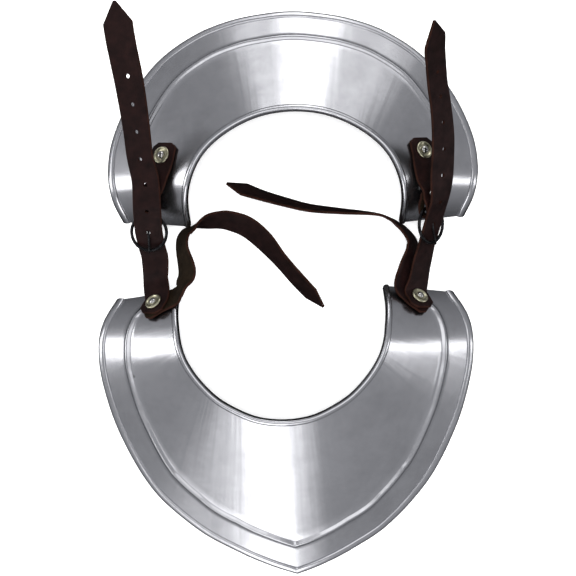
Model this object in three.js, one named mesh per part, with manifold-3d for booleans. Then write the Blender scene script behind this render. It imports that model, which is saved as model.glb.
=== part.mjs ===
// Steel gorget: a pointed front plate and a rounded back plate, joined by two buckled leather straps.
// It lies convex side up, with its neck opening upwards and its outer edges on the table.
// Millimetres. +X runs to the right, +Y from the front plate to the back plate and +Z up.
import * as THREE from 'three';
import { mergeVertices } from 'three/addons/utils/BufferGeometryUtils.js';
import Module from 'manifold-3d';

const wasm = await Module();
wasm.setup();

// Steel sheet
const SHEET = 1.2;
const RIM_HEIGHT = 60; // height of the neck edge above the table
const SIDE_SLOPE = 0.57; // fall of the sheet at the shoulders, in mm per mm
const END_DROP = 25; // how far a shoulder end curls down at its outer corner
const END_CURL = 2.5; // power of that curl, so that it starts gently
const ROLL_WIDTH = 4.6; // rolled neck edge
const OUTER_ROLL_WIDTH = 6.2; // rolled outer edge
const ROLL_HEIGHT = 1.7;
const LIP = 1.6; // how far the outer edge turns down
const NECK_LIP = 2.8; // how far the neck edge turns down
const BEAD_WIDTH = 6; // raised bead inside the outer edge
const BEAD_HEIGHT = 2.1;
const BORDER = 27.5; // from the outer edge to the middle of the bead
const BEAD_END = [0.9, 0.97]; // where the bead dies away, as a share of the way to a shoulder end
const ARCH_STEPS = 3; // facets across a roll or the bead
const PLATE_STEPS = 44; // facets along a plate, from shoulder end to shoulder end

// Leather
const STRAP_WIDTH = 23.5;
const LEATHER = 2.4;
const TIP_LENGTH = 16; // pointed free ends
const TIP_HALF = STRAP_WIDTH / 20; // half of the flat left at the very tip
const START_SHARE = 0.6; // width left at an end whose corners are cut off
const STRAP_STEPS = 2; // facets between two stations of a strap
const HOLE_RADIUS = 1.6; // buckle holes
const HOLE_PITCH = 21.4;
const HOLE_COUNT = 6; // beyond the one the prong is in

// Hardware
const GAP = 0.3; // clearance kept between pieces that touch
const PRESS = 0.5; // clearance, straight up, where leather is pressed to the shape under it
const RING_RADIUS = 15; // to the middle of the buckle's wire
const WIRE_RADIUS = 1.35;
const PRONG_RADIUS = 1;
const PRONG_SIDES = 6;
const PRONG_STEPS = 30;
const PRONG_SLOT = [3.8, 16, 16]; // cut through a fold for the prong: width, length and depth
const SHANK_RADIUS = 2;
const HEAD_RADIUS = 3.2;
const WASHER_RADIUS = 7.3;
const WASHER_SEAT = 0.8; // thickness of a washer under the rivet's head
const FOLD_SHANK_RADIUS = 1.1;
const FOLD_HEAD_RADIUS = 2.9;
const FOLD_RIVET_PLACE = 13; // from the middle of the buckle's wire
const FOLD_WIDTH = 16; // the short straps, where they are folded round the buckle
const FOLD_END = [0.68, 0.84]; // where they widen to a strap's full width, as a share of their run
const FOLD_GAP = 3.1; // from the middle of the buckle's wire to the leather folded round it
const FOLD_LENGTH = 15; // from the middle of the buckle's wire to where both layers lie together

const FRONT = {
  origin: [-1, -62],
  turn: 1.4,
  centreSlope: 0.416,
  endSide: 1,
  endLength: 55,
  pointed: true,
  neckShift: -3,
  tipLean: 4.9,
  tipStart: -120,
  // Across the sheet from the middle to a shoulder end: neck edge x and y, outer edge x and y.
  pairs: [
    [0, -44.3, 0, -188.5],
    [20, -42, 24, -179.5],
    [37, -35.3, 51, -167],
    [53.7, -25, 84, -147],
    [67.4, -11, 120, -110],
    [77, 3.5, 145, -61.5],
    [82, 17, 158, -17],
    [84.4, 31, 160.8, 13],
    [86, 46, 157.5, 35],
    [86, 62, 147.5, 55],
  ],
};

const BACK = {
  origin: [4, 104],
  turn: 1.1,
  centreSlope: 0.605,
  endSide: -1,
  endLength: 43.3,
  pointed: false,
  neckShift: 1,
  tipLean: 0,
  tipStart: 0,
  pairs: [
    [0, 39, 0, 138.2],
    [20.5, 37, 26, 136],
    [38, 31.5, 54, 130.5],
    [54, 23, 84, 118.5],
    [67, 13, 115, 95.5],
    [76, 2.5, 139, 62],
    [82, -9, 154, 27],
    [86, -21, 158, 0],
    [88.2, -34, 155.5, -25],
    [88.5, -50.5, 149.4, -43.3],
  ],
};

// Rivets, in each plate's own frame
const FRONT_RIVETS = [[-107, 49], [110, 48.5]];
const BACK_RIVETS = [[-105.8, 6], [105.8, 6]];

const { degToRad: degrees, lerp, smoothstep } = THREE.MathUtils;
const vector = (x, y, z) => new THREE.Vector3(x, y, z);
const along = (origin, ...terms) => {
  const point = origin.clone();
  for (const [direction, distance] of terms) {
    point.addScaledVector(direction, distance);
  }
  return point;
};

// Each piece has a material of its own, named after it.
function finish(color, roughness, metalness) {
  return (name) => new THREE.MeshStandardMaterial({ name, color, roughness, metalness });
}

const steel = finish(0x9a999e, 0.28, 1);
const leather = finish(0x241716, 0.6, 0);
const blackened = finish(0x2b2b2c, 0.35, 1);
const brass = finish(0xa9a487, 0.35, 1);

const gorget = new THREE.Group();
gorget.name = 'gorget';

function addMesh(parent, name, geometry, material) {
  const mesh = new THREE.Mesh(geometry, material(name));
  mesh.name = name;
  parent.add(mesh);
  return mesh;
}

function closedGeometry(positions, index) {
  const geometry = new THREE.BufferGeometry();
  geometry.setAttribute('position', new THREE.Float32BufferAttribute(positions, 3));
  geometry.setIndex(index);
  return geometry;
}

function toSolid(geometry) {
  const plain = geometry.clone();
  plain.deleteAttribute('normal');
  plain.deleteAttribute('uv');
  const merged = mergeVertices(plain, 1e-4);
  const mesh = new wasm.Mesh({
    numProp: 3,
    vertProperties: merged.attributes.position.array,
    triVerts: Uint32Array.from(merged.index.array),
  });
  return new wasm.Manifold(mesh);
}

function fromSolid(solid) {
  const mesh = solid.getMesh();
  return closedGeometry(Array.from(mesh.vertProperties), Array.from(mesh.triVerts));
}

function cutAway(geometry, cutters) {
  let solid = toSolid(geometry);
  for (const cutter of cutters) {
    solid = solid.subtract(toSolid(cutter));
  }
  const bodies = solid.decompose();
  bodies.sort((a, b) => b.volume() - a.volume());
  return fromSolid(bodies[0]);
}

// Copies of a shape moved a little, to cut clearance for it out of a softer piece: straight up or down,
// and along the normal of the plate where the piece is riveted.
function clearanceOf(geometry, normal, lift) {
  const straight = geometry.clone().translate(0, 0, lift);
  const square = geometry.clone().translate(normal.x * lift, normal.y * lift, normal.z * lift);
  return [straight, square];
}

// A straight round cutter centred on a point, along a direction.
function drill(centre, direction, radius, length) {
  const sides = 12;
  const geometry = new THREE.CylinderGeometry(radius, radius, length, sides);
  const turn = new THREE.Quaternion().setFromUnitVectors(vector(0, 1, 0), direction);
  geometry.applyQuaternion(turn);
  geometry.translate(centre.x, centre.y, centre.z);
  return geometry;
}

function smoothCurve(points) {
  return new THREE.CatmullRomCurve3(points, false, 'catmullrom', 0.5);
}

// --- Plates ---

function splineThrough(points) {
  return smoothCurve(points.map(([x, y]) => vector(x, y, 0)));
}

function mirrored(points) {
  const left = points.slice(1).reverse().map(([x, y]) => [-x, y]);
  return [...left, ...points];
}

// The plain surface of a plate. s runs from -1 at the left shoulder end over 0 to 1 at the right one,
// and reach is the level distance from the neck edge towards the outer edge.
function makeForm(spec) {
  const neckLine = splineThrough(mirrored(spec.pairs.map((pair) => pair.slice(0, 2))));
  const outerHalf = spec.pairs.map((pair) => pair.slice(2));
  const outerLine = splineThrough(spec.pointed ? outerHalf : mirrored(outerHalf));

  function neckAt(s) {
    const point = neckLine.getPoint((s + 1) / 2);
    point.x += spec.neckShift;
    return point;
  }

  function outerAt(s) {
    const point = outerLine.getPoint(spec.pointed ? Math.abs(s) : (s + 1) / 2);
    if (spec.pointed) {
      point.x *= Math.sign(s);
      const towardsTip = Math.max(0, spec.tipStart - point.y) / (spec.tipStart - outerHalf[0][1]);
      point.x += spec.tipLean * towardsTip;
    }
    return point;
  }

  function ruling(s) {
    const neck = neckAt(s);
    const direction = outerAt(s).sub(neck);
    const length = direction.length();
    return { neck, direction: direction.normalize(), length };
  }

  function surface(s, reach) {
    const { neck, direction } = ruling(s);
    const point = along(neck, [direction, reach]);
    const sideShare = smoothstep(Math.abs(s), 0, 0.75);
    const slope = lerp(spec.centreSlope, SIDE_SLOPE, sideShare);
    const pastArch = Math.max(0, spec.endSide * point.y) / spec.endLength;
    point.z = RIM_HEIGHT - slope * reach - END_DROP * pastArch ** END_CURL;
    return point;
  }

  function normal(s, reach) {
    const step = 0.004;
    const before = surface(Math.max(-1, s - step), reach);
    const after = surface(Math.min(1, s + step), reach);
    const alongPlate = after.sub(before);
    const acrossPlate = surface(s, reach + 1).sub(surface(s, reach - 1));
    const up = alongPlate.cross(acrossPlate).normalize();
    return up.z < 0 ? up.negate() : up;
  }

  // How much further the ruling runs than a line square to the outer edge.
  function slant(s) {
    const step = 0.004;
    const from = Math.min(Math.max(s, -1 + step), 1 - step);
    const side = s < 0 ? -1 : 1;
    const edge = outerAt(from + side * step).sub(outerAt(from)).normalize();
    const { direction } = ruling(s);
    return 1 / Math.abs(edge.x * direction.y - edge.y * direction.x);
  }

  // The surface point and its normal at a place given in the plate's frame.
  function locate(x, y) {
    let s = 0.85 * Math.sign(x);
    let reach = 30;
    for (let turn = 0; turn < 25; turn += 1) {
      const here = surface(s, reach);
      const bySide = surface(s + 0.001, reach).sub(here).multiplyScalar(1000);
      const byReach = surface(s, reach + 0.1).sub(here).multiplyScalar(10);
      const scale = bySide.x * byReach.y - bySide.y * byReach.x;
      const dx = x - here.x;
      const dy = y - here.y;
      s += (dx * byReach.y - dy * byReach.x) / scale;
      reach += (bySide.x * dy - bySide.y * dx) / scale;
      s = THREE.MathUtils.clamp(s, -0.998, 0.998);
    }
    return { point: surface(s, reach), normal: normal(s, reach) };
  }

  return { ruling, surface, normal, slant, locate };
}

// Half an ellipse of facets: [distance, lift] from one foot to the other.
function archProfile(width, height) {
  const points = [];
  for (let i = 0; i <= ARCH_STEPS; i += 1) {
    const angle = Math.PI * (1 - i / ARCH_STEPS);
    points.push([(width / 2) * (1 + Math.cos(angle)), height * Math.sin(angle)]);
  }
  return points;
}

// The sheet's outer face across one ruling, from the neck edge to the outer edge.
function outerProfile(length, slant, endShare) {
  const neckRoll = archProfile(ROLL_WIDTH, ROLL_HEIGHT);
  const outerRoll = archProfile(OUTER_ROLL_WIDTH * slant, ROLL_HEIGHT);
  const beadFade = 1 - smoothstep(endShare, ...BEAD_END);
  const bead = archProfile(BEAD_WIDTH * slant, BEAD_HEIGHT * beadFade);
  const beadStart = length - (BORDER + BEAD_WIDTH / 2) * slant;
  const rollStart = length - OUTER_ROLL_WIDTH * slant;
  return [
    [0, -NECK_LIP],
    ...neckRoll,
    [(ROLL_WIDTH + beadStart) / 2, 0],
    ...bead.map(([x, lift]) => [beadStart + x, lift]),
    ...outerRoll.map(([x, lift]) => [rollStart + x, lift]),
    [length, -LIP],
  ];
}

// The same line moved inwards by the sheet's thickness.
function innerProfile(profile) {
  const normals = [];
  for (let i = 1; i < profile.length; i += 1) {
    const dx = profile[i][0] - profile[i - 1][0];
    const dh = profile[i][1] - profile[i - 1][1];
    const size = Math.hypot(dx, dh);
    normals.push([dh / size, -dx / size]);
  }
  return profile.map(([x, lift], i) => {
    const first = normals[Math.max(0, i - 1)];
    const second = normals[Math.min(normals.length - 1, i)];
    const sum = [first[0] + second[0], first[1] + second[1]];
    const size = Math.hypot(sum[0], sum[1]);
    const mitre = SHEET / Math.max(0.6, size / 2);
    return [x + (sum[0] / size) * mitre, lift + (sum[1] / size) * mitre];
  });
}

function plateGeometry(form) {
  const positions = [];
  const index = [];
  let loop = 0;
  for (let i = 0; i <= PLATE_STEPS; i += 1) {
    const s = -1 + (2 * i) / PLATE_STEPS;
    const { length } = form.ruling(s);
    const outer = outerProfile(length, form.slant(s), Math.abs(s));
    const section = [...outer, ...innerProfile(outer).reverse()];
    loop = section.length;
    for (const [x, lift] of section) {
      const reach = THREE.MathUtils.clamp(x, 0, length);
      const point = along(form.surface(s, x), [form.normal(s, reach), lift]);
      positions.push(point.x, point.y, point.z);
    }
  }
  for (let i = 0; i < PLATE_STEPS; i += 1) {
    for (let j = 0; j < loop; j += 1) {
      const a = i * loop + j;
      const b = i * loop + ((j + 1) % loop);
      index.push(a, b, a + loop, b, b + loop, a + loop);
    }
  }
  const lastLoop = PLATE_STEPS * loop;
  for (let j = 0; j < loop / 2 - 1; j += 1) {
    const k = loop - 1 - j;
    index.push(j, k, j + 1, j + 1, k, k - 1);
    index.push(lastLoop + j, lastLoop + j + 1, lastLoop + k);
    index.push(lastLoop + j + 1, lastLoop + k - 1, lastLoop + k);
  }
  return closedGeometry(positions, index);
}

// The same shape with its facets facing out, whichever way round they were laid.
function outward(geometry) {
  const index = Array.from(geometry.index.array);
  const points = geometry.attributes.position;
  const a = vector();
  const b = vector();
  const c = vector();
  let volume = 0;
  for (let i = 0; i < index.length; i += 3) {
    a.fromBufferAttribute(points, index[i]);
    b.fromBufferAttribute(points, index[i + 1]);
    c.fromBufferAttribute(points, index[i + 2]);
    volume += a.dot(b.cross(c));
  }
  if (volume < 0) {
    for (let i = 0; i < index.length; i += 3) {
      [index[i + 1], index[i + 2]] = [index[i + 2], index[i + 1]];
    }
    geometry.setIndex(index);
  }
  return geometry;
}

function addPlate(name, spec, rivets) {
  const form = makeForm(spec);
  const frame = new THREE.Group();
  frame.position.set(spec.origin[0], spec.origin[1], 0);
  frame.rotation.z = degrees(spec.turn);
  frame.updateMatrix();
  gorget.add(frame);
  const seats = rivets.map(([x, y]) => form.locate(x, y));
  const holes = seats.map((seat) => drill(seat.point, seat.normal, SHANK_RADIUS + GAP, 12));
  const sheet = outward(plateGeometry(form));
  addMesh(frame, name, cutAway(sheet, holes), steel);
  return {
    sheet: sheet.clone().applyMatrix4(frame.matrix),
    seats: seats.map((seat) => ({
      point: seat.point.clone().applyMatrix4(frame.matrix),
      normal: seat.normal.clone().transformDirection(frame.matrix),
    })),
  };
}

const front = addPlate('front_plate', FRONT, FRONT_RIVETS);
const back = addPlate('back_plate', BACK, BACK_RIVETS);

// --- Straps ---

// The edge-to-edge direction of a strap that runs towards a heading, rolled about its own length.
// A positive roll lifts the right-hand edge.
function sideOf(heading, roll) {
  const turn = degrees(roll);
  const right = vector(Math.sin(heading), -Math.cos(heading), 0);
  return right.multiplyScalar(Math.cos(turn)).add(vector(0, 0, Math.sin(turn)));
}

// Stations from rows of x, y, z and roll in degrees. Each takes its heading from its neighbours.
function stationsFrom(rows) {
  return rows.map(([x, y, z, roll], i) => {
    const before = rows[Math.max(0, i - 1)];
    const after = rows[Math.min(rows.length - 1, i + 1)];
    const heading = Math.atan2(after[1] - before[1], after[0] - before[0]);
    return { point: vector(x, y, z), side: sideOf(heading, roll) };
  });
}

// A flat strap through its stations, with a cut-cornered start and a flat pointed or plain end. One that
// starts as a fold has the fold's width there, and widens past it.
function strapGeometry(stations, { tip = 0, foldWidth = STRAP_WIDTH }) {
  const centres = smoothCurve(stations.map((station) => station.point));
  const sides = smoothCurve(stations.map((station) => station.side));
  const count = (stations.length - 1) * STRAP_STEPS;
  const sections = [];
  for (let i = 0; i <= count; i += 1) {
    const tangent = centres.getTangent(i / count);
    const side = sides.getPoint(i / count);
    side.addScaledVector(tangent, -side.dot(tangent)).normalize();
    const width = lerp(foldWidth, STRAP_WIDTH, smoothstep(i / count, ...FOLD_END));
    const half = (width / 2) * (i === 0 ? START_SHARE : 1);
    sections.push({ centre: centres.getPoint(i / count), tangent, side, half });
  }
  const last = sections[count];
  if (tip > 0) {
    sections.push({ ...last, centre: along(last.centre, [last.tangent, tip]), half: TIP_HALF });
  } else {
    last.half *= START_SHARE;
  }
  const positions = [];
  for (const { centre, tangent, side, half } of sections) {
    const up = side.clone().cross(tangent);
    for (const [edge, face] of [[-1, -1], [1, -1], [1, 1], [-1, 1]]) {
      const corner = along(centre, [side, edge * half], [up, (face * LEATHER) / 2]);
      positions.push(corner.x, corner.y, corner.z);
    }
  }
  const index = [0, 1, 2, 0, 2, 3];
  for (let i = 0; i < sections.length - 1; i += 1) {
    for (let j = 0; j < 4; j += 1) {
      const a = i * 4 + j;
      const b = i * 4 + ((j + 1) % 4);
      index.push(a, a + 4, b, b, a + 4, b + 4);
    }
  }
  const end = (sections.length - 1) * 4;
  index.push(end, end + 2, end + 1, end, end + 3, end + 2);
  return outward(closedGeometry(positions, index));
}

// A right-handed frame from a direction of travel and a roll.
function frameOf(heading, slope, roll) {
  const rise = degrees(slope);
  const turn = degrees(heading);
  const forward = vector(Math.cos(turn) * Math.cos(rise), Math.sin(turn) * Math.cos(rise), Math.sin(rise));
  const side = sideOf(turn, roll);
  side.addScaledVector(forward, -side.dot(forward)).normalize();
  return { forward, side, up: side.clone().cross(forward) };
}

// A straight run of a strap across a rivet, lying parallel to the plate at a height above it.
function acrossRivet(seat, heading, height, distances) {
  const turn = degrees(heading);
  const level = vector(Math.cos(turn), Math.sin(turn), 0);
  const forward = level.addScaledVector(seat.normal, -level.dot(seat.normal)).normalize();
  const side = forward.clone().cross(seat.normal);
  return distances.map((distance) => ({
    point: along(seat.point, [seat.normal, height], [forward, distance]),
    side: side.clone(),
  }));
}

const BACK_LAYER = GAP + LEATHER / 2;
const TIE_LAYER = 2 * GAP + LEATHER / 2;
const LONG_LAYER = TIE_LAYER + LEATHER + 3 * GAP;

const SIDES = {
  left: {
    seat: front.seats[0],
    backSeat: back.seats[0],
    ring: vector(-115.9, 46.4, 32.7),
    frame: frameOf(93, 7, 8),
    pitch: 27,
    crossing: -3.1,
    inRing: [[-21, 0.5], [-12, 0.1], [0, 0.3], [12, 2.1], [22, 3.8]],
    foldFrame: frameOf(88, 24, 9),
    backHeading: 84,
    foldRivetOffset: 3.5,
    lowRun: [
      [-112.4, 5.5, 20, 22],
      [-112.8, 17.5, 19, 13],
    ],
    freeEnd: [
      [-115.2, 87, 54.2, 14],
      [-118.2, 105.5, 62, 20],
      [-119.6, 127, 69.8, 18],
      [-122.8, 157.5, 79.8, 10],
      [-127.8, 187.6, 87.6, 8],
      [-129.6, 202, 91, 8],
    ],
    shortRun: [
      [-109.5, 82, 46.2, 24],
      [-106, 94, 47.5, 29],
    ],
    tieHeading: 30,
    tie: [
      [-94.6, -7.8, 35.2, 55],
      [-90.3, -3.4, 37, 66],
      [-88, 1.7, 37.5, 64],
      [-84.8, 8.3, 35, 50],
      [-84.9, 16.4, 31.5, 49],
      [-89, 31.4, 26, 60],
      [-89.2, 42, 21.5, 62],
      [-86.4, 47.6, 18.8, 66],
      [-82.6, 51.1, 16.8, 74],
      [-78.8, 53.6, 15.4, 88],
      [-69.5, 56.9, 13.4, 112],
      [-60, 58.5, 11.8, 122],
      [-50.7, 58, 10.4, 130],
      [-35.2, 52.5, 9.4, 136],
      [-20.6, 40.5, 9.6, 133],
      [-6.9, 24.6, 10.9, 120],
      [8.6, 6.9, 11, 119],
      [19.8, -4.8, 11.2, 117],
    ],
  },
  right: {
    seat: front.seats[1],
    backSeat: back.seats[1],
    ring: vector(118.3, 52.6, 38.5),
    frame: frameOf(98, 12, -40),
    pitch: 26,
    crossing: -2.9,
    inRing: [[-21, 0], [-12, 0], [0, 0], [12, 0], [22, 0]],
    foldFrame: frameOf(97, 26, -38),
    backHeading: 97,
    foldRivetOffset: 0,
    lowRun: [
      [110.2, 7, 25.8, -39],
      [112.8, 19.5, 23.8, -42],
    ],
    freeEnd: [
      [123.7, 89.2, 56.5, -32],
      [123.8, 109.3, 61.5, -33],
      [122.1, 125.2, 69, -35],
      [118.4, 142.4, 79, -39],
      [114, 156.2, 90, -43],
      [109.4, 172.3, 106.5, -46],
      [107.1, 180.7, 117, -47],
    ],
    shortRun: [
      [112.4, 87, 48.2, -33],
      [111.2, 98, 49, -31],
    ],
    tieHeading: 136,
    tie: [
      [98.6, 0, 25.9, -34],
      [100.6, 13.5, 23.6, -42],
      [103.8, 25, 22, -51],
      [105.7, 32.2, 22, -56],
      [105.5, 38, 21.5, -61],
      [103.6, 43, 21.8, -66],
      [99.6, 48.5, 21.2, -70],
      [94.5, 53.5, 19.8, -74],
      [87.6, 58.7, 17.2, -80],
      [75, 63.4, 14.4, -82],
      [44.8, 66.2, 12.2, -75],
      [18.1, 69, 12, -70],
      [-1.7, 73.8, 11.7, -67],
      [-21.5, 79.4, 11.5, -64],
      [-38, 85, 11, -58],
    ],
  },
};

function longStrap(side) {
  const { forward, side: across, up } = side.frame;
  const rise = Math.tan(degrees(side.pitch));
  const inRing = side.inRing.map(([distance, drift]) => ({
    point: along(side.ring, [forward, distance], [across, drift], [up, (distance - side.crossing) * rise]),
    side: across.clone(),
  }));
  return [
    ...acrossRivet(side.seat, 90, LONG_LAYER, [-10.5, -2, 6]),
    ...stationsFrom(side.lowRun),
    ...inRing,
    ...stationsFrom(side.freeEnd),
  ];
}

// The middle of a ring's wire on its far side, where the short strap is folded round it.
function farWire(side) {
  return along(side.ring, [side.frame.forward, RING_RADIUS]);
}

// Points of the buckle's tongue, from its eye round the ring's far side to its tip on the near side.
function prongPath(side) {
  const { forward, up } = side.frame;
  const eye = WIRE_RADIUS + GAP + PRONG_RADIUS;
  const points = [];
  for (let angle = 200; angle <= 450; angle += 25) {
    const turn = degrees(angle);
    const distance = RING_RADIUS + eye * Math.cos(turn);
    points.push(along(side.ring, [forward, distance], [up, eye * Math.sin(turn)]));
  }
  const straight = [[10.5, 2.5], [5, 1.9], [0, 1.5], [-6, 1.7], [-11, 2.4], [-15, 2.95], [-17, 3]];
  for (const [distance, lift] of straight) {
    points.push(along(side.ring, [forward, distance], [up, lift]));
  }
  return smoothCurve(points);
}

function prongGeometry(path, radius) {
  const section = new THREE.Shape();
  for (let i = 0; i < PRONG_SIDES; i += 1) {
    const angle = (2 * Math.PI * i) / PRONG_SIDES;
    const [x, y] = [radius * Math.cos(angle), radius * Math.sin(angle)];
    if (i === 0) {
      section.moveTo(x, y);
    } else {
      section.lineTo(x, y);
    }
  }
  section.closePath();
  return new THREE.ExtrudeGeometry(section, { steps: PRONG_STEPS, bevelEnabled: false, extrudePath: path });
}

// The short strap starts with its end folded under, turns round the ring and runs up to its rivet.
function shortStrap(side) {
  const { forward, side: across, up } = side.foldFrame;
  const wire = farWire(side);
  const turnRadius = FOLD_GAP + LEATHER / 2;
  const turnMiddle = -2.7;
  const layer = (LEATHER + GAP) / 2;
  // The upper layer from the turn to where it meets the lower one, which mirrors it.
  const upper = [[turnMiddle, turnRadius], [3, turnRadius - 0.1], [9, layer + 0.6], [FOLD_LENGTH, layer]];
  const inFold = upper.map(([distance, lift]) => [distance, -lift]).reverse();
  for (let angle = 225; angle >= 135; angle -= 45) {
    const turn = degrees(angle);
    inFold.push([turnMiddle + turnRadius * Math.cos(turn), turnRadius * Math.sin(turn)]);
  }
  inFold.push(...upper);
  const folded = inFold.map(([distance, lift]) => ({
    point: along(wire, [forward, distance], [up, lift]),
    side: across.clone(),
  }));
  return [
    ...folded,
    ...stationsFrom(side.shortRun),
    ...acrossRivet(side.backSeat, side.backHeading, BACK_LAYER, [-5, 3, 11]),
  ];
}

function tieStrap(side) {
  return [
    ...acrossRivet(side.seat, side.tieHeading, TIE_LAYER, [-12, -4, 4]),
    ...stationsFrom(side.tie),
  ];
}

function boxAlong({ forward, side, up }, centre, size) {
  const geometry = new THREE.BoxGeometry(size[0], size[1], size[2]);
  geometry.applyMatrix4(new THREE.Matrix4().makeBasis(side, forward, up));
  geometry.translate(centre.x, centre.y, centre.z);
  return geometry;
}

// Buckle holes, at an even pitch along the strap from the prong's hole towards the free end.
function buckleHoles(stations, prongHole) {
  const centres = smoothCurve(stations.map((station) => station.point));
  const sides = smoothCurve(stations.map((station) => station.side));
  const samples = 600;
  const holes = [];
  let nearest = 0;
  for (let i = 0; i <= samples; i += 1) {
    const distance = centres.getPoint(i / samples).distanceTo(prongHole);
    if (distance < centres.getPoint(nearest / samples).distanceTo(prongHole)) {
      nearest = i;
    }
  }
  let travelled = 0;
  for (let i = nearest + 1; i <= samples && holes.length < HOLE_COUNT; i += 1) {
    travelled += centres.getPoint(i / samples).distanceTo(centres.getPoint((i - 1) / samples));
    if (travelled >= HOLE_PITCH * (holes.length + 1)) {
      const tangent = centres.getTangent(i / samples);
      const normal = sides.getPoint(i / samples).cross(tangent).normalize();
      holes.push(drill(centres.getPoint(i / samples), normal, HOLE_RADIUS, LEATHER * 2));
    }
  }
  return holes;
}

// --- Rivets and washers ---

function latheGeometry(profile, segments) {
  const points = profile.map(([radius, height]) => new THREE.Vector2(radius, height));
  return new THREE.LatheGeometry(points, segments).rotateX(Math.PI / 2);
}

// A round-headed rivet along +Z from its peened tail to its head.
function rivetGeometry(tail, seat, shankRadius, headRadius, segments) {
  const head = [[1, 0], [0.92, 0.28], [0.68, 0.56], [0.35, 0.72], [0, 0.77]];
  return latheGeometry(
    [
      [0, tail - 0.35 * headRadius],
      [0.8 * headRadius, tail - 0.35 * headRadius],
      [0.95 * headRadius, tail],
      [shankRadius, tail],
      [shankRadius, seat],
      ...head.map(([radius, height]) => [radius * headRadius, seat + height * headRadius]),
    ],
    segments,
  );
}

// A cupped washer: a raised round rim that falls to a thin seat for the rivet's head.
function washerGeometry(base) {
  const profile = [
    [SHANK_RADIUS + GAP, 0],
    [WASHER_RADIUS - 0.3, 0],
    [WASHER_RADIUS, 0.5],
    [WASHER_RADIUS, 1.2],
    [WASHER_RADIUS - 0.8, 1.7],
    [WASHER_RADIUS - 1.8, 1.6],
    [HEAD_RADIUS + 0.9, WASHER_SEAT],
    [SHANK_RADIUS + GAP, WASHER_SEAT],
    [SHANK_RADIUS + GAP, 0],
  ];
  return latheGeometry(profile.map(([radius, height]) => [radius, base + height]), 24);
}

function addRivet(name, seat, stackHeight) {
  const place = new THREE.Group();
  place.position.copy(seat.point);
  place.quaternion.setFromUnitVectors(vector(0, 0, 1), seat.normal);
  gorget.add(place);
  const washerBase = stackHeight + GAP;
  const headSeat = washerBase + WASHER_SEAT + GAP;
  addMesh(place, `${name}_washer`, washerGeometry(washerBase), brass);
  const tail = -SHEET - GAP;
  addMesh(place, `${name}_rivet`, rivetGeometry(tail, headSeat, SHANK_RADIUS, HEAD_RADIUS, 16), steel);
}

function addFoldRivet(name, side) {
  const { forward, side: across, up } = side.foldFrame;
  const centre = along(farWire(side), [forward, FOLD_RIVET_PLACE], [across, side.foldRivetOffset]);
  const half = LEATHER + GAP / 2 + 1.3; // the two layers rise a little towards the ring under the head
  const place = new THREE.Group();
  place.position.copy(centre);
  place.quaternion.setFromUnitVectors(vector(0, 0, 1), up);
  gorget.add(place);
  addMesh(place, name, rivetGeometry(0.7 - half, half, FOLD_SHANK_RADIUS, FOLD_HEAD_RADIUS, 12), steel);
  return drill(centre, up, FOLD_SHANK_RADIUS + GAP, 5 * LEATHER);
}

// --- Assembly ---

for (const [name, side] of Object.entries(SIDES)) {
  const seatHole = drill(side.seat.point, side.seat.normal, SHANK_RADIUS + GAP, 24);
  const backHole = drill(side.backSeat.point, side.backSeat.normal, SHANK_RADIUS + GAP, 16);
  const prong = prongPath(side);
  const foldHole = addFoldRivet(`${name}_fold_rivet`, side);

  const long = longStrap(side);
  const prongRoom = prongGeometry(prong, PRONG_RADIUS + GAP + 0.1);
  const holes = buckleHoles(long, side.ring);
  const longGeometry = strapGeometry(long, { tip: TIP_LENGTH });
  const overFront = clearanceOf(front.sheet, side.seat.normal, PRESS);
  const punched = cutAway(longGeometry, [seatHole, prongRoom, ...overFront, ...holes]);
  addMesh(gorget, `${name}_long_strap`, punched, leather);

  const slot = boxAlong(side.frame, along(farWire(side), [side.frame.forward, -1.5]), PRONG_SLOT);
  const shortGeometry = strapGeometry(shortStrap(side), { foldWidth: FOLD_WIDTH });
  addMesh(gorget, `${name}_short_strap`, cutAway(shortGeometry, [backHole, foldHole, slot]), leather);

  const tieGeometry = strapGeometry(tieStrap(side), { tip: TIP_LENGTH });
  const underLong = clearanceOf(longGeometry, side.seat.normal, -PRESS);
  addMesh(gorget, `${name}_tie_strap`, cutAway(tieGeometry, [seatHole, ...overFront, ...underLong]), leather);

  const ringGeometry = new THREE.TorusGeometry(RING_RADIUS, WIRE_RADIUS, 8, 28);
  const ring = addMesh(gorget, `${name}_ring`, ringGeometry, blackened);
  ring.position.copy(side.ring);
  const basis = new THREE.Matrix4().makeBasis(side.frame.side, side.frame.forward, side.frame.up);
  ring.quaternion.setFromRotationMatrix(basis);
  addMesh(gorget, `${name}_prong`, prongGeometry(prong, PRONG_RADIUS), blackened);

  addRivet(`front_${name}`, side.seat, LONG_LAYER + LEATHER / 2);
  addRivet(`back_${name}`, side.backSeat, BACK_LAYER + LEATHER / 2);
}

// The origin is the middle of the footprint, at table level.
gorget.updateMatrixWorld(true);
const bounds = new THREE.Box3().setFromObject(gorget, true);
const middle = bounds.getCenter(vector());
gorget.position.set(-middle.x, -middle.y, -bounds.min.z);

export default gorget;
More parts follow.
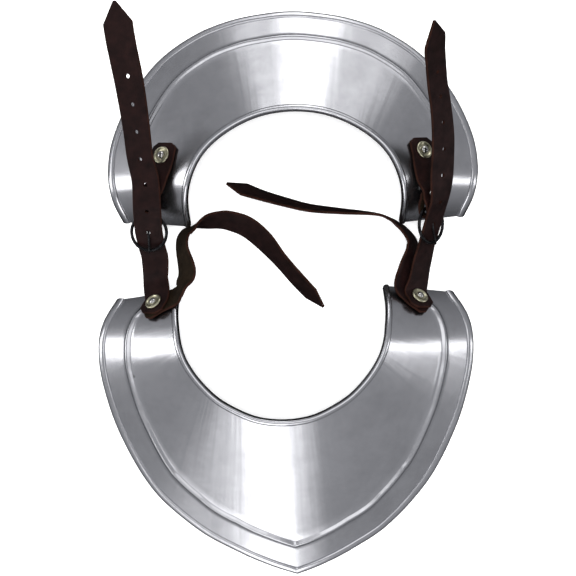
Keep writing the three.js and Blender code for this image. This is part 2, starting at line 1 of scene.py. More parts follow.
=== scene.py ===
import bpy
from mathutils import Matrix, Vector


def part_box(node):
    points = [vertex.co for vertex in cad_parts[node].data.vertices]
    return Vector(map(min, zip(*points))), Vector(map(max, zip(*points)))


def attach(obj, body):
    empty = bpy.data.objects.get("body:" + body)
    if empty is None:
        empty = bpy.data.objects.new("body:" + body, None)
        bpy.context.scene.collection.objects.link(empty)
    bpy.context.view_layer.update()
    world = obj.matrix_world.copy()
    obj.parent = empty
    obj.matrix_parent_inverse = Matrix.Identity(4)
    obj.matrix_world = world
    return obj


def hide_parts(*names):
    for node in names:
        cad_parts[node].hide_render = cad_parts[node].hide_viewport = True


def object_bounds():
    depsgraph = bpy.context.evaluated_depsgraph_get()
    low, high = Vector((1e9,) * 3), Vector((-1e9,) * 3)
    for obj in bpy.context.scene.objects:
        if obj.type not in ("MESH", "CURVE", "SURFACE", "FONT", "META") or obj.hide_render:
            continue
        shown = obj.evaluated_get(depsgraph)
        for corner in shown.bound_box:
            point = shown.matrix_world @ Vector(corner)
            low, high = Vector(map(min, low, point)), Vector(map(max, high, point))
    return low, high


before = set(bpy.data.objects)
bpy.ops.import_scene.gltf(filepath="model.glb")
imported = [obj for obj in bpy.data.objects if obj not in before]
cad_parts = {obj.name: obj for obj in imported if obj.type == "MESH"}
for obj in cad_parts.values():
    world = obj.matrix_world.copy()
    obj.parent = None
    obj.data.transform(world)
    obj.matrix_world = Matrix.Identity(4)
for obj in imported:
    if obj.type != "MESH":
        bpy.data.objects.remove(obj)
cad_box = [list(corner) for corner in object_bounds()]

# A steel gorget: a pointed front plate and a rounded back plate, joined at the shoulders by buckled
# leather straps, with two loose tie straps. Shapes are worked out in millimetres and placed in metres.
import functools
import math

import bmesh
import bpy
import numpy as np
from mathutils import Vector

MM = 0.001

# --- Sizes, in millimetres ---

# Steel sheet
SHEET = 1.2
RIM_HEIGHT = 60  # height of the neck edge above the table
SIDE_SLOPE = 0.57  # fall of the sheet at the shoulders, in mm per mm
END_DROP = 25  # how far a shoulder end curls down at its outer corner
END_CURL = 2.5  # power of that curl, so that it starts gently
ROLL_WIDTH = 4.6  # rolled neck edge
OUTER_ROLL_WIDTH = 6.2  # rolled outer edge
ROLL_HEIGHT = 1.7
LIP = 1.6  # how far the outer edge turns down
NECK_LIP = 2.8  # how far the neck edge turns down
BEAD_WIDTH = 6.6  # raised bead inside the outer edge, with the hollows at its foot
BEAD_HEIGHT = 2.1
BEAD_ROUND = 1.6  # power that hollows the foot of the bead
BORDER = 27.5  # from the outer edge to the middle of the bead
BEAD_END = (0.9, 0.97)  # where the bead dies away, as a share of the way to a shoulder end
# The smooth outer edge stops short by what it would bulge past the straight edges of the CAD plate.
EDGE_INSET = 0.35
PLATE_ROWS = 300
ROW_STEP = 0.004  # how far apart two places on a plate are taken to measure a direction there

# Leather
STRAP_WIDTH = 23.5
LEATHER = 2.4
CROWN = 0.12  # how much a strap's face falls towards its edges
TIP_LENGTH = 16  # pointed free ends
TIP_HALF = STRAP_WIDTH / 20  # half of the flat left at the very tip
START_SHARE = 0.6  # width left at an end whose corners are cut off
STRAP_STEPS = 12  # sections between two stations of a strap
HOLE_RADIUS = 1.7
HOLE_PITCH = 21.4
HOLE_COUNT = 6  # beyond the one the tongue is in
PRONG_HOLE_RADIUS = 1.8  # stretched a little by the tongue
PUNCH_LENGTH = 5 * LEATHER

# Fittings
GAP = 0.3  # clearance kept between pieces that touch
RING_RADIUS = 15  # to the middle of the buckle's wire
WIRE_RADIUS = 1.35
PRONG_RADIUS = 1
PRONG_TAPER = 14  # sections over which the tongue thins to its tip, out of PRONG_SECTIONS
PRONG_SECTIONS = 120
SHANK_RADIUS = 2
HEAD_RADIUS = 3.2
WASHER_RADIUS = 7.3
WASHER_SEAT = 0.8  # thickness of a washer under the rivet's head
TURNED_SIDES = 48

# The short straps' folds
FOLD_GAP = 3.1  # from the middle of the buckle's wire to the leather folded round it
FOLD_LENGTH = 15  # from the middle of the buckle's wire to where both layers lie together
FOLD_WIDTH = 16  # width of a short strap where it is folded round the buckle
FOLD_END = (0.68, 0.84)  # where it widens to a strap's full width, as a share of its run
FOLD_SHANK_RADIUS = 1.1
FOLD_HEAD_RADIUS = 2.9
FOLD_RIVET_PLACE = 13  # from the middle of the buckle's wire
PRONG_SLOT = (3.8, 16, 16)  # cut through a fold for the tongue: width, length and depth

# Heights of the straps' middles above the plates, at the rivets
BACK_LAYER = GAP + LEATHER / 2
TIE_LAYER = 2 * GAP + LEATHER / 2
LONG_LAYER = TIE_LAYER + LEATHER + 3 * GAP

# Studio, in metres
FLOOR_HALF = 4
PANEL_DISTANCE = 2.2
CAMERA_HEIGHT = 0.7
VIEW_HALF = 0.252  # half of what the camera sees at table level

FRONT = {
    "origin": (-1, -62), "turn": 1.4, "centre_slope": 0.416, "end_side": 1, "end_length": 55,
    "pointed": True, "neck_shift": -3, "tip_lean": 4.9, "tip_start": -120,
    # From the middle to a shoulder end: neck edge x and y, outer edge x and y.
    "pairs": [
        (0, -44.3, 0, -188.5), (20, -42, 24, -179.5), (37, -35.3, 51, -167), (53.7, -25, 84, -147),
        (67.4, -11, 120, -110), (77, 3.5, 145, -61.5), (82, 17, 158, -17), (84.4, 31, 160.8, 13),
        (86, 46, 157.5, 35), (86, 62, 147.5, 55),
    ],
}
BACK = {
    "origin": (4, 104), "turn": 1.1, "centre_slope": 0.605, "end_side": -1, "end_length": 43.3,
    "pointed": False, "neck_shift": 1, "tip_lean": 0, "tip_start": 0,
    "pairs": [
        (0, 39, 0, 138.2), (20.5, 37, 26, 136), (38, 31.5, 54, 130.5), (54, 23, 84, 118.5),
        (67, 13, 115, 95.5), (76, 2.5, 139, 62), (82, -9, 154, 27), (86, -21, 158, 0),
        (88.2, -34, 155.5, -25), (88.5, -50.5, 149.4, -43.3),
    ],
}
FRONT_RIVETS = {"left": (-107, 49), "right": (110, 48.5)}
BACK_RIVETS = {"left": (-105.8, 6), "right": (105.8, 6)}

# Straps as rows of x, y, z and roll in degrees, from the rivet to the free end.
SIDES = {
    "left": {
        "ring": (-115.9, 46.4, 32.7), "ring_aim": (93, 7, 8), "pitch": 27, "crossing": -3.1,
        "in_ring": [(-21, 0.5), (-12, 0.1), (0, 0.3), (12, 2.1), (22, 3.8)],
        "fold_aim": (88, 24, 9), "back_heading": 84, "fold_rivet_offset": 3.5,
        "low_run": [(-112.4, 5.5, 20, 22), (-112.8, 17.5, 19, 13)],
        "free_end": [
            (-115.2, 87, 54.2, 14), (-118.2, 105.5, 62, 20), (-119.6, 127, 69.8, 18),
            (-122.8, 157.5, 79.8, 10), (-127.8, 187.6, 87.6, 8), (-129.6, 202, 91, 8),
        ],
        "short_run": [(-109.5, 82, 46.2, 24), (-106, 94, 47.5, 29)],
        "tie_heading": 30,
        "tie": [
            (-94.6, -7.8, 35.2, 55), (-90.3, -3.4, 37, 66), (-88, 1.7, 37.5, 64), (-84.8, 8.3, 35, 50),
            (-84.9, 16.4, 31.5, 49), (-89, 31.4, 26, 60), (-89.2, 42, 21.5, 62), (-86.4, 47.6, 18.8, 66),
            (-82.6, 51.1, 16.8, 74), (-78.8, 53.6, 15.4, 88), (-69.5, 56.9, 13.4, 112),
            (-60, 58.5, 11.8, 122), (-50.7, 58, 10.4, 130), (-35.2, 52.5, 9.4, 136),
            (-20.6, 40.5, 9.6, 133), (-6.9, 24.6, 10.9, 120), (8.6, 6.9, 11, 119), (19.8, -4.8, 11.2, 117),
        ],
    },
    "right": {
        "ring": (118.3, 52.6, 38.5), "ring_aim": (98, 12, -40), "pitch": 26, "crossing": -2.9,
        "in_ring": [(-21, 0), (-12, 0), (0, 0), (12, 0), (22, 0)],
        "fold_aim": (97, 26, -38), "back_heading": 97, "fold_rivet_offset": 0,
        "low_run": [(110.2, 7, 25.8, -39), (112.8, 19.5, 23.8, -42)],
        "free_end": [
            (123.7, 89.2, 56.5, -32), (123.8, 109.3, 61.5, -33), (122.1, 125.2, 69, -35),
            (118.4, 142.4, 79, -39), (114, 156.2, 90, -43), (109.4, 172.3, 106.5, -46),
            (107.1, 180.7, 117, -47),
        ],
        "short_run": [(112.4, 87, 48.2, -33), (111.2, 98, 49, -31)],
        "tie_heading": 136,
        "tie": [
            (98.6, 0, 25.9, -34), (100.6, 13.5, 23.6, -42), (103.8, 25, 22, -51), (105.7, 32.2, 22, -56),
            (105.5, 38, 21.5, -61), (103.6, 43, 21.8, -66), (99.6, 48.5, 21.2, -70), (94.5, 53.5, 19.8, -74),
            (87.6, 58.7, 17.2, -80), (75, 63.4, 14.4, -82), (44.8, 66.2, 12.2, -75), (18.1, 69, 12, -70),
            (-1.7, 73.8, 11.7, -67), (-21.5, 79.4, 11.5, -64), (-38, 85, 11, -58),
        ],
    },
}

# The drawing's origin in the row frame, found from where the left buckle's ring lies.
ring_low, ring_high = (Vector(corner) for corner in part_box("left_ring"))
ORIGIN = (ring_low + ring_high) / 2 - Vector(SIDES["left"]["ring"]) * MM


def vector(*values):
    return np.array(values, float)


def unit(direction):
    return direction / np.linalg.norm(direction)


def along(origin, *terms):
    point = np.array(origin, float)
    for direction, distance in terms:
        point = point + direction * distance
    return point


def smooth_share(value, low, high):
    share = min(max((value - low) / (high - low), 0), 1)
    return share * share * (3 - 2 * share)


def spline(points, share):
    """A point on the smooth curve through points, a share of the way along their list."""
    place = share * (len(points) - 1)
    first = min(int(place), len(points) - 2)
    w = place - first
    start, end = points[first], points[first + 1]
    before = points[first - 1] if first > 0 else 2 * start - end
    after = points[first + 2] if first + 2 < len(points) else 2 * end - start
    leave = (end - before) / 2
    arrive = (after - start) / 2
    cubic = 2 * start - 2 * end + leave + arrive
    square = 3 * end - 3 * start - 2 * leave - arrive
    return cubic * w**3 + square * w**2 + leave * w + start


def mirrored(points):
    return [vector(-x, y) for x, y in reversed(points[1:])] + [vector(x, y) for x, y in points]


# --- Materials ---

def linear(hex_colour):
    """An sRGB hex colour as linear red, green, blue and alpha."""
    values = [int(hex_colour[i:i + 2], 16) / 255 for i in (1, 3, 5)]
    return [v / 12.92 if v <= 0.04045 else ((v + 0.055) / 1.055) ** 2.4 for v in values] + [1]


def add_node(tree, kind, settings=None, links=None):
    """One node, with its properties or sockets set and its inputs linked. A colour ramp's stops are places
    and hex colours."""
    node = tree.nodes.new(kind)
    for name, value in (settings or {}).items():
        if name == "stops":
            elements = node.color_ramp.elements
            for i, (place, colour) in enumerate(value):
                element = elements[i] if i < 2 else elements.new(place)
                element.position = place
                element.color = linear(colour)
        elif isinstance(name, int) or name in node.inputs:
            node.inputs[name].default_value = value
        else:
            setattr(node, name, value)
    for name, source in (links or {}).items():
        tree.links.new(source, node.inputs[name])
    return node


def new_material(name):
    material = bpy.data.materials.new(name)
    material.use_nodes = True
    tree = material.node_tree
    tree.nodes.clear()
    return material, tree


def per_metre(millimetres):
    """The texture scale that repeats a pattern every so many millimetres."""
    return 1 / (millimetres * MM)


def polished_sheet_steel():
    """Cold-rolled mild steel sheet, raised by hand and polished on a wheel. It gives the eye soft-edged
    reflections that waver with the hammer work and break into streaks where the sheet was bent, with faint
    lines from the wheel and a few dull spots."""
    material, tree = new_material("wheel-polished mild steel sheet")
    place = add_node(tree, "ShaderNodeTexCoord")
    # The sheet's own coordinates are in metres along and across it. The wheel ran along the plate, and its
    # lines are really about 0.1 mm apart: they are drawn at 0.9 mm, which is as fine as shows.
    along_sheet = add_node(
        tree, "ShaderNodeMapping", {"Scale": (0.03, 1, 1)}, {"Vector": place.outputs["UV"]})
    wheel_lines = add_node(
        tree, "ShaderNodeTexNoise", {"Scale": per_metre(0.9), "Detail": 4, "Roughness": 0.6},
        {"Vector": along_sheet.outputs["Vector"]})
    # The hollows that a planishing hammer leaves run into each other and are about 34 mm across.
    hammering = add_node(
        tree, "ShaderNodeTexNoise", {"Scale": per_metre(34), "Detail": 1.5, "Roughness": 0.4},
        {"Vector": place.outputs["Object"]})
    # Handling has left patches about 26 mm across a little darker and duller.
    dulling = add_node(
        tree, "ShaderNodeTexNoise", {"Scale": per_metre(26), "Detail": 6, "Roughness": 0.62},
        {"Vector": place.outputs["Object"]})
    tint = add_node(
        tree, "ShaderNodeValToRGB", {"stops": [(0.32, "#bfbfc3"), (0.62, "#cdcdd1")]},
        {"Fac": dulling.outputs["Fac"]})
    # A few specks of tarnish 2 or 3 mm across, in the middles of some of the cells of a 30 mm pattern.
    cells = add_node(
        tree, "ShaderNodeTexVoronoi", {"Scale": per_metre(30), "Randomness": 1},
        {"Vector": place.outputs["Object"]})
    cell_draw = add_node(tree, "ShaderNodeSeparateColor", links={"Color": cells.outputs["Color"]})
    chosen = add_node(
        tree, "ShaderNodeMath", {"operation": "GREATER_THAN", 1: 0.7}, {0: cell_draw.outputs["Red"]})
    middle = add_node(
        tree, "ShaderNodeMapRange", {"From Min": 0.02, "From Max": 0.05, "To Min": 0.5, "To Max": 0},
        {"Value": cells.outputs["Distance"]})
    speck = add_node(
        tree, "ShaderNodeMath", {"operation": "MULTIPLY"},
        {0: chosen.outputs["Value"], 1: middle.outputs["Result"]})
    # A mix node holds its colours after its numbers: inputs 6 and 7, and output 2.
    specked = add_node(
        tree, "ShaderNodeMix", {"data_type": "RGBA", 7: linear("#4a4743")},
        {0: speck.outputs["Value"], 6: tint.outputs["Color"]})
    gloss = add_node(
        tree, "ShaderNodeMapRange", {"From Min": 0.3, "From Max": 0.7, "To Min": 0.27, "To Max": 0.22},
        {"Value": dulling.outputs["Fac"]})
    # Bending the sheet over a stake leaves ridges about 11 mm apart, straight from the neck to the outer
    # edge. They show as streaks beside the bright reflections.
    across_sheet = add_node(
        tree, "ShaderNodeMapping", {"Scale": (1, 0.06, 1)}, {"Vector": place.outputs["UV"]})
    ridges = add_node(
        tree, "ShaderNodeTexNoise", {"Scale": per_metre(11), "Detail": 2, "Roughness": 0.5},
        {"Vector": across_sheet.outputs["Vector"]})
    bending = add_node(
        tree, "ShaderNodeBump", {"Strength": 0.42, "Distance": 0.35 * MM}, {"Height": ridges.outputs["Fac"]})
    waver = add_node(
        tree, "ShaderNodeBump", {"Strength": 0.3, "Distance": 0.4 * MM},
        {"Height": hammering.outputs["Fac"], "Normal": bending.outputs["Normal"]})
    brushing = add_node(
        tree, "ShaderNodeBump", {"Strength": 0.1, "Distance": 0.03 * MM},
        {"Height": wheel_lines.outputs["Fac"], "Normal": waver.outputs["Normal"]})
    shader = add_node(
        tree, "ShaderNodeBsdfPrincipled", {"Metallic": 1},
        {"Base Color": specked.outputs[2], "Roughness": gloss.outputs["Result"],
         "Normal": brushing.outputs["Normal"]})
    add_node(tree, "ShaderNodeOutputMaterial", links={"Surface": shader.outputs["BSDF"]})
    return material


def barrelled_metal(name, dark, light, roughness, dent_width):
    """A small metal fitting, tumbled smooth in a barrel with others. It gives the eye tight highlights over
    a slightly mottled, softly dented surface. The dents are really about 0.5 mm wide, and are drawn wider to
    show."""
    material, tree = new_material(name)
    place = add_node(tree, "ShaderNodeTexCoord")
    mottling = add_node(
        tree, "ShaderNodeTexNoise", {"Scale": per_metre(dent_width), "Detail": 4, "Roughness": 0.6},
        {"Vector": place.outputs["Object"]})
    tint = add_node(
        tree, "ShaderNodeValToRGB", {"stops": [(0.35, dark), (0.68, light)]},
        {"Fac": mottling.outputs["Fac"]})
    gloss = add_node(
        tree, "ShaderNodeMapRange",
        {"From Min": 0.3, "From Max": 0.7, "To Min": roughness * 1.25, "To Max": roughness * 0.8},
        {"Value": mottling.outputs["Fac"]})
    dents = add_node(
        tree, "ShaderNodeBump", {"Strength": 0.5, "Distance": 0.06 * MM},
        {"Height": mottling.outputs["Fac"]})
    shader = add_node(
        tree, "ShaderNodeBsdfPrincipled", {"Metallic": 1},
        {"Base Color": tint.outputs["Color"], "Roughness": gloss.outputs["Result"],
         "Normal": dents.outputs["Normal"]})
    add_node(tree, "ShaderNodeOutputMaterial", links={"Surface": shader.outputs["BSDF"]})
    return material


def cowhide(name, dark, light, roughness, pore_width, relief):
    """Vegetable-tanned cowhide, dyed through with dark brown. Its grain side gives the eye fine pores and
    soft creases with a weak shine, its flesh side a dull nap, and its cut edges a redder, raw fibre. Pores
    and nap are really about 0.2 mm apart, and are drawn coarser to show."""
    material, tree = new_material(name)
    place = add_node(tree, "ShaderNodeTexCoord")
    pores = add_node(
        tree, "ShaderNodeTexVoronoi", {"Scale": per_metre(pore_width), "Randomness": 1},
        {"Vector": place.outputs["Object"]})
    # The dye has taken unevenly, and the hide creases, over about 9 mm.
    clouding = add_node(
        tree, "ShaderNodeTexNoise", {"Scale": per_metre(9), "Detail": 5, "Roughness": 0.6},
        {"Vector": place.outputs["Object"]})
    tint = add_node(
        tree, "ShaderNodeValToRGB", {"stops": [(0.3, dark), (0.72, light)]},
        {"Fac": clouding.outputs["Fac"]})
    gloss = add_node(
        tree, "ShaderNodeMapRange",
        {"From Min": 0.3, "From Max": 0.7, "To Min": roughness * 1.12, "To Max": roughness * 0.88},
        {"Value": clouding.outputs["Fac"]})
    creases = add_node(
        tree, "ShaderNodeBump", {"Strength": 0.35, "Distance": 0.3 * MM},
        {"Height": clouding.outputs["Fac"]})
    pebbling = add_node(
        tree, "ShaderNodeBump", {"Strength": relief, "Distance": 0.12 * MM},
        {"Height": pores.outputs["Distance"], "Normal": creases.outputs["Normal"]})
    shader = add_node(
        tree, "ShaderNodeBsdfPrincipled", {"IOR": 1.5, "Specular IOR Level": 0.09},
        {"Base Color": tint.outputs["Color"], "Roughness": gloss.outputs["Result"],
         "Normal": pebbling.outputs["Normal"]})
    add_node(tree, "ShaderNodeOutputMaterial", links={"Surface": shader.outputs["BSDF"]})
    return material


def matt_paper():
    """Seamless background paper, uncoated: bright, matt and almost even."""
    material, tree = new_material("seamless background paper")
    place = add_node(tree, "ShaderNodeTexCoord")
    # The paper's fibres don't show, only how they cloud over about 25 mm.
    fibres = add_node(
        tree, "ShaderNodeTexNoise", {"Scale": per_metre(25), "Detail": 3},
        {"Vector": place.outputs["Object"]})
    tint = add_node(
        tree, "ShaderNodeValToRGB", {"stops": [(0.3, "#f2f2f2"), (0.7, "#f5f5f5")]},
        {"Fac": fibres.outputs["Fac"]})
    # The table under the paper is lit from below, so that no shadow shows on it.
    shader = add_node(
        tree, "ShaderNodeBsdfPrincipled",
        {"Roughness": 0.9, "Specular IOR Level": 0.1, "Emission Color": (1, 1, 1, 1),
         "Emission Strength": 0.45},
        {"Base Color": tint.outputs["Color"]})
    add_node(tree, "ShaderNodeOutputMaterial", links={"Surface": shader.outputs["BSDF"]})
    return material


SHEET_STEEL = polished_sheet_steel()
# Rivets of mild steel, bright and a little worn on top.
RIVET_STEEL = barrelled_metal("barrelled mild steel", "#a9a7a6", "#dad8d4", 0.2, 2.5)
# Brass washers whose thin nickel has dulled to a pale straw colour.
WASHER_BRASS = barrelled_metal("nickel-washed brass", "#b5b092", "#dedac0", 0.3, 2)
# Iron wire burnt black in oil, with a low shine.
BUCKLE_WIRE = barrelled_metal("oil-blackened iron wire", "#151516", "#3a3a3c", 0.28, 1.8)
GRAIN_SIDE = cowhide("dyed cowhide, grain side", "#0e0707", "#1c0f0e", 0.5, 0.9, 0.35)
FLESH_SIDE = cowhide("dyed cowhide, flesh side", "#110c08", "#20180f", 0.8, 0.6, 0.8)
CUT_EDGE = cowhide("dyed cowhide, cut edge", "#190c08", "#2a1610", 0.7, 0.5, 0.6)


# --- Meshes ---

def new_mesh(name, points, faces, materials):
    """A mesh from points in millimetres."""
    mesh = bpy.data.meshes.new(name)
    mesh.from_pydata([Vector(p) * MM + ORIGIN for p in points], [], faces)
    for material in materials:
        mesh.materials.append(material)
    return mesh


def face_outwards(mesh):
    """Turn every face of a closed mesh to face out."""
    turned = bmesh.new()
    turned.from_mesh(mesh)
    bmesh.ops.recalc_face_normals(turned, faces=turned.faces)
    turned.to_mesh(mesh)
    turned.free()


def add_object(name, data):
    placed = bpy.data.objects.new(name, data)
    bpy.context.scene.collection.objects.link(placed)
    return placed


def add_piece(name, points, faces, materials, node, face_materials=None, sheet_places=None, crease=35):
    """A named piece, smooth but for edges sharper than its crease. It rides on the object and stands for one
    CAD node."""
    mesh = new_mesh(name, points, faces, materials)
    if face_materials is not None:
        mesh.polygons.foreach_set("material_index", face_materials)
    if sheet_places is not None:
        layer = mesh.uv_layers.new(name="sheet")
        for loop in mesh.loops:
            layer.data[loop.index].uv = sheet_places[loop.vertex_index]
    mesh.polygons.foreach_set("use_smooth", [True] * len(mesh.polygons))
    face_outwards(mesh)
    mesh.set_sharp_from_angle(angle=math.radians(crease))
    mesh.update()
    piece = add_object(name, mesh)
    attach(piece, "root")
    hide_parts(node)
    return piece


def ring_faces(sections, loop, closed=False):
    """Quads between rings of loop points, with the two end rings filled unless the run is closed."""
    faces = []
    for i in range(sections if closed else sections - 1):
        for j in range(loop):
            a, b = i * loop + j, i * loop + (j + 1) % loop
            shift = ((i + 1) % sections - i) * loop
            faces.append((a, b, b + shift, a + shift))
    if not closed:
        faces.append(tuple(range(loop)))
        faces.append(tuple((sections - 1) * loop + j for j in reversed(range(loop))))
    return faces


# --- Plates ---

class PlateForm:
    """The plain surface of a plate. s runs from -1 to 1 between its shoulder ends, and reach is the level
    distance from the neck edge."""

    def __init__(self, spec):
        self.spec = spec
        self.neck_points = mirrored([pair[:2] for pair in spec["pairs"]])
        half = [vector(*pair[2:]) for pair in spec["pairs"]]
        self.tip_y = half[0][1]
        self.outer_points = half if spec["pointed"] else mirrored([pair[2:] for pair in spec["pairs"]])

    def neck_at(self, s):
        return spline(self.neck_points, (s + 1) / 2) + vector(self.spec["neck_shift"], 0)

    def outer_at(self, s):
        if not self.spec["pointed"]:
            return spline(self.outer_points, (s + 1) / 2)
        point = spline(self.outer_points, abs(s))
        start = self.spec["tip_start"]
        towards_tip = max(0, start - point[1]) / (start - self.tip_y)
        return vector(point[0] * np.sign(s) + self.spec["tip_lean"] * towards_tip, point[1])

    @functools.cache
    def ruling(self, s):
        neck = self.neck_at(s)
        direction = self.outer_at(s) - neck
        return neck, unit(direction), np.linalg.norm(direction)

    def surface(self, s, reach):
        neck, direction, _ = self.ruling(s)
        x, y = neck + direction * reach
        slope = self.spec["centre_slope"]
        slope += (SIDE_SLOPE - slope) * smooth_share(abs(s), 0, 0.75)
        past_arch = max(0, self.spec["end_side"] * y) / self.spec["end_length"]
        return vector(x, y, RIM_HEIGHT - slope * reach - END_DROP * past_arch**END_CURL)

    def normal(self, s, reach):
        lengthways = self.surface(min(1, s + ROW_STEP), reach) - self.surface(max(-1, s - ROW_STEP), reach)
        crossways = self.surface(s, reach + 1) - self.surface(s, reach - 1)
        up = unit(np.cross(lengthways, crossways))
        return up if up[2] > 0 else -up

    def slant_beside(self, s, side):
        """How much further the ruling runs than a line square to the outer edge on one side of it."""
        start = min(max(s, ROW_STEP - 1), 1 - ROW_STEP)
        edge = unit(self.outer_at(start + side * ROW_STEP) - self.outer_at(start))
        direction = self.ruling(s)[1]
        return 1 / abs(edge[0] * direction[1] - edge[1] * direction[0])

    def slant(self, s):
        """The ruling's slant, evened out near the middle, where the two sides of a pointed plate differ."""
        side = -1 if s < 0 else 1
        difference = self.slant_beside(0, -side) - self.slant_beside(0, side)
        return self.slant_beside(s, side) + difference / 2 * (1 - smooth_share(abs(s), 0, 0.06))

    def locate(self, x, y):
        """The surface point and normal at a place given in the plate's own frame."""
        s, reach = 0.85 * np.sign(x), 30
        for _ in range(25):
            here = self.surface(s, reach)
            by_side = (self.surface(s + 0.001, reach) - here) * 1000
            by_reach = (self.surface(s, reach + 0.1) - here) * 10
            scale = by_side[0] * by_reach[1] - by_side[1] * by_reach[0]
            dx, dy = x - here[0], y - here[1]
            s += (dx * by_reach[1] - dy * by_reach[0]) / scale
            reach += (by_side[0] * dy - by_side[1] * dx) / scale
            s = min(max(s, -0.998), 0.998)
        return self.surface(s, reach), self.normal(s, reach)

    def to_world(self, point):
        turn = math.radians(self.spec["turn"])
        x, y, z = point
        return vector(
            x * math.cos(turn) - y * math.sin(turn) + self.spec["origin"][0],
            x * math.sin(turn) + y * math.cos(turn) + self.spec["origin"][1], z)

    def turned(self, direction):
        return self.to_world(direction) - vector(*self.spec["origin"], 0)


def outer_profile(length, slant, end_share):
    """The sheet's outer face across one ruling, from the neck edge to the outer edge."""
    arch = [((1 - math.cos(a)) / 2, ROLL_HEIGHT * math.sin(a)) for a in np.linspace(0, math.pi, 15)]
    fade = 1 - smooth_share(end_share, *BEAD_END)
    # The bead meets the sheet in soft hollows on both sides.
    bead = [(share * BEAD_WIDTH * slant, BEAD_HEIGHT * fade * math.sin(math.pi * share) ** BEAD_ROUND)
            for share in np.linspace(0, 1, 17)]
    bead_start = length - (BORDER + BEAD_WIDTH / 2) * slant
    roll_start = length - OUTER_ROLL_WIDTH * slant
    flat = np.linspace(ROLL_WIDTH, bead_start, 16)[1:-1]
    border = np.linspace(bead_start + BEAD_WIDTH * slant, roll_start, 8)[1:-1]
    tuck = 0.1  # both lips lean inwards a little
    return [
        (tuck, -NECK_LIP), (0, -NECK_LIP / 2), *((x * ROLL_WIDTH, lift) for x, lift in arch),
        *((x, 0) for x in flat), *((bead_start + x, lift) for x, lift in bead), *((x, 0) for x in border),
        *((roll_start + x * OUTER_ROLL_WIDTH * slant, lift) for x, lift in arch),
        (length, -LIP / 2), (length - tuck, -LIP)]


def inner_profile(profile):
    """The same line moved inwards by the sheet's thickness."""
    points = np.array(profile)
    steps = np.diff(points, axis=0)
    normals = np.stack([steps[:, 1], -steps[:, 0]], axis=1)
    normals /= np.linalg.norm(normals, axis=1)[:, None]
    both = np.vstack([normals[:1], normals]) + np.vstack([normals, normals[-1:]])
    sizes = np.linalg.norm(both, axis=1)[:, None]
    sharpest = 0.6  # keeps the mitre of a sharp corner short
    return [tuple(p) for p in points + both / sizes * SHEET / np.maximum(sharpest, sizes / 2)]


def build_plate(name, form, node):
    """The sheet as rows of sections from one shoulder end to the other, closed at both ends."""
    points, places = [], []
    travelled = 0
    last_middle = None
    loop = 0
    for i in range(PLATE_ROWS + 1):
        s = -1 + 2 * i / PLATE_ROWS
        length = form.ruling(s)[2] - EDGE_INSET
        outer = outer_profile(length, form.slant(s), abs(s))
        section = outer + inner_profile(outer)[::-1]
        loop = len(section)
        middle = form.surface(s, length / 2)
        if last_middle is not None:
            travelled += np.linalg.norm(middle - last_middle)
        last_middle = middle
        for x, lift in section:
            reach = min(max(x, 0), length)  # the lips hang from the edges
            points.append(form.to_world(along(form.surface(s, x), (form.normal(s, reach), lift))))
            places.append((travelled * MM, x * MM))
    faces = ring_faces(PLATE_ROWS + 1, loop)[:-2]
    last = PLATE_ROWS * loop
    for j in range(loop // 2 - 1):
        k = loop - 1 - j
        faces.append((j, k, k - 1, j + 1))
        faces.append((last + j, last + j + 1, last + k - 1, last + k))
    add_piece(name, points, faces, [SHEET_STEEL], node, sheet_places=places, crease=50)


# --- Straps ---

def side_of(heading, roll):
    """The edge-to-edge direction of a strap that runs towards a heading. A positive roll lifts its right
    edge."""
    right = vector(math.sin(heading), -math.cos(heading), 0)
    return right * math.cos(math.radians(roll)) + vector(0, 0, math.sin(math.radians(roll)))


def aimed(heading, slope, roll):
    """Forward, side and up directions for a heading, a slope and a roll in degrees."""
    turn, rise = math.radians(heading), math.radians(slope)
    forward = vector(math.cos(turn) * math.cos(rise), math.sin(turn) * math.cos(rise), math.sin(rise))
    side = side_of(turn, roll)
    side = unit(side - forward * np.dot(side, forward))
    return forward, side, np.cross(side, forward)


def stations_from(rows):
    stations = []
    for i, (x, y, z, roll) in enumerate(rows):
        before, after = rows[max(0, i - 1)], rows[min(len(rows) - 1, i + 1)]
        heading = math.atan2(after[1] - before[1], after[0] - before[0])
        stations.append((vector(x, y, z), side_of(heading, roll)))
    return stations


def across_rivet(seat, heading, height, distances):
    """A straight run of a strap across a rivet, parallel to the plate and at a height above it."""
    point, normal = seat
    turn = math.radians(heading)
    level = vector(math.cos(turn), math.sin(turn), 0)
    forward = unit(level - normal * np.dot(level, normal))
    side = np.cross(forward, normal)
    return [(along(point, (normal, height), (forward, distance)), side) for distance in distances]


def far_wire(side):
    """The middle of a ring's wire on its far side, where the short strap is folded round it."""
    return along(side["ring"], (aimed(*side["ring_aim"])[0], RING_RADIUS))


def long_strap_stations(side):
    forward, across, up = aimed(*side["ring_aim"])
    rise = math.tan(math.radians(side["pitch"]))
    in_ring = [
        (along(side["ring"], (forward, distance), (across, drift),
               (up, (distance - side["crossing"]) * rise)), across)
        for distance, drift in side["in_ring"]]
    return (across_rivet(side["seat"], 90, LONG_LAYER, (-10.5, -2, 6)) + stations_from(side["low_run"])
            + in_ring + stations_from(side["free_end"]))


